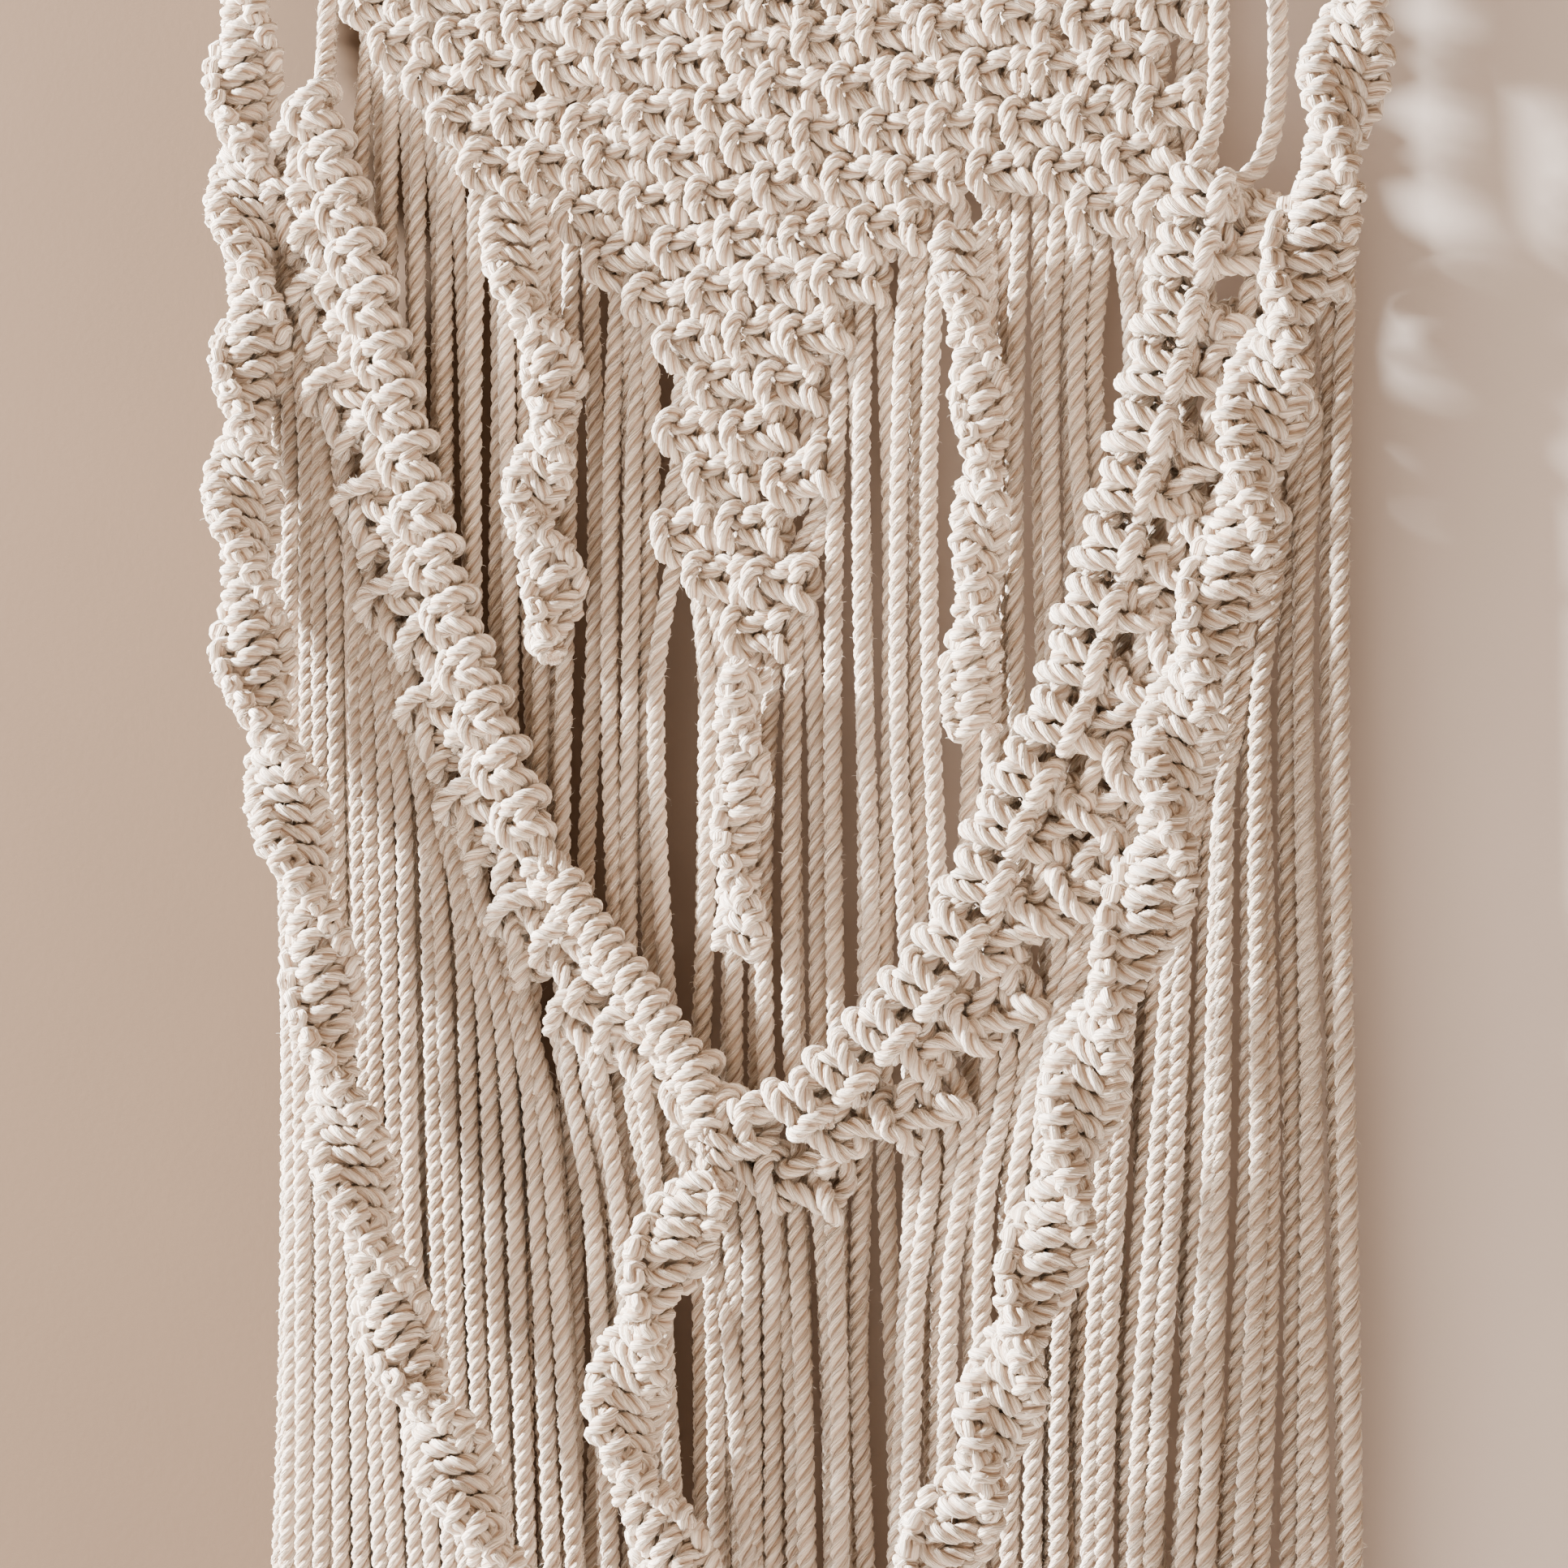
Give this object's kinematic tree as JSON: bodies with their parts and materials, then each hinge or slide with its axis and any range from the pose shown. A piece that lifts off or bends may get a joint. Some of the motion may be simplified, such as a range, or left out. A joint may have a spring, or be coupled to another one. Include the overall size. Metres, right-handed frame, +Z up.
{
  "type": "macrame wall hanging",
  "caption": "Knotted cotton cord wall hanging on a wooden dowel, with a square-knot panel, a fringed V swag and draped half-knot spirals.",
  "frame": {"origin": "point where the hanger cord rests on the nail", "axes": "+Z up along the hanging's length, +X to the viewer's right, +Y into the wall"},
  "size_m": [0.396, 0.0577, 0.8051],
  "materials": {
    "cotton_cord": "matte natural cotton, three-strand twisted cord",
    "dowel_wood": "sanded, unvarnished"
  },
  "bodies": {
    "dowel_and_hanger": {"dowel": "dowel_wood", "hanger_cord": "cotton_cord", "hanger_wrap_left": "cotton_cord", "hanger_wrap_right": "cotton_cord"},
    "rear_panel": {"panel_lark_heads": "cotton_cord", "knotted_panel": "cotton_cord", "curtain_cords_01": "cotton_cord", "curtain_cords_02": "cotton_cord", "curtain_cords_03": "cotton_cord", "curtain_cords_04": "cotton_cord", "curtain_cords_05": "cotton_cord", "curtain_cords_06": "cotton_cord", "curtain_cords_07": "cotton_cord", "curtain_cords_08": "cotton_cord", "curtain_cords_09": "cotton_cord", "curtain_cords_10": "cotton_cord", "curtain_cords_11": "cotton_cord", "curtain_cords_12": "cotton_cord", "curtain_cords_13": "cotton_cord", "rear_spiral_left": "cotton_cord", "rear_spiral_right": "cotton_cord", "rear_spiral_centre": "cotton_cord"},
    "front_swag": {"swag_lark_head_left": "cotton_cord", "swag_lark_head_right": "cotton_cord", "swag_lead_left_1": "cotton_cord", "swag_lead_right_1": "cotton_cord", "swag_lead_right_2": "cotton_cord", "swag_ridge_left": "cotton_cord", "swag_ridge_right": "cotton_cord", "swag_band_left": "cotton_cord", "swag_band_right": "cotton_cord", "swag_tip_knot": "cotton_cord", "fringe_cords_left_1": "cotton_cord", "fringe_cords_left_2": "cotton_cord", "fringe_cords_left_3": "cotton_cord", "fringe_cords_left_4": "cotton_cord", "fringe_cords_left_5": "cotton_cord", "fringe_cords_left_6": "cotton_cord", "fringe_cords_left_7": "cotton_cord", "fringe_cords_centre": "cotton_cord", "fringe_cords_right_1": "cotton_cord", "fringe_cords_right_2": "cotton_cord", "fringe_cords_right_3": "cotton_cord", "fringe_cords_right_4": "cotton_cord", "fringe_cords_right_5": "cotton_cord", "fringe_cords_right_6": "cotton_cord", "fringe_cords_right_7": "cotton_cord", "fringe_cords_right_8": "cotton_cord"},
    "centre_spiral": {"centre_spiral": "cotton_cord", "centre_spiral_tail": "cotton_cord"},
    "garland": {"garland_lark_head_left": "cotton_cord", "garland_lark_head_right": "cotton_cord", "garland_left": "cotton_cord", "garland_right": "cotton_cord", "garland_bottom": "cotton_cord"}
  },
  "joints": [
    {"name": "rear_panel_swing", "type": "hinge", "parent": "dowel_and_hanger", "child": "rear_panel", "pos_m": [0, 0, -0.13], "axis": [-1, 0, 0], "range_deg": [0, 30]},
    {"name": "front_swag_swing", "type": "hinge", "parent": "rear_panel", "child": "front_swag", "pos_m": [0, 0, -0.13], "axis": [-1, 0, 0], "range_deg": [0, 30]},
    {"name": "garland_swing", "type": "hinge", "parent": "front_swag", "child": "garland", "pos_m": [0, 0, -0.13], "axis": [-1, 0, 0], "range_deg": [0, 30]},
    {"name": "centre_spiral_swing", "type": "hinge", "parent": "front_swag", "child": "centre_spiral", "pos_m": [-0.003, -0.0195, -0.488], "axis": [-1, 0, 0], "range_deg": [0, 40]}
  ]
}
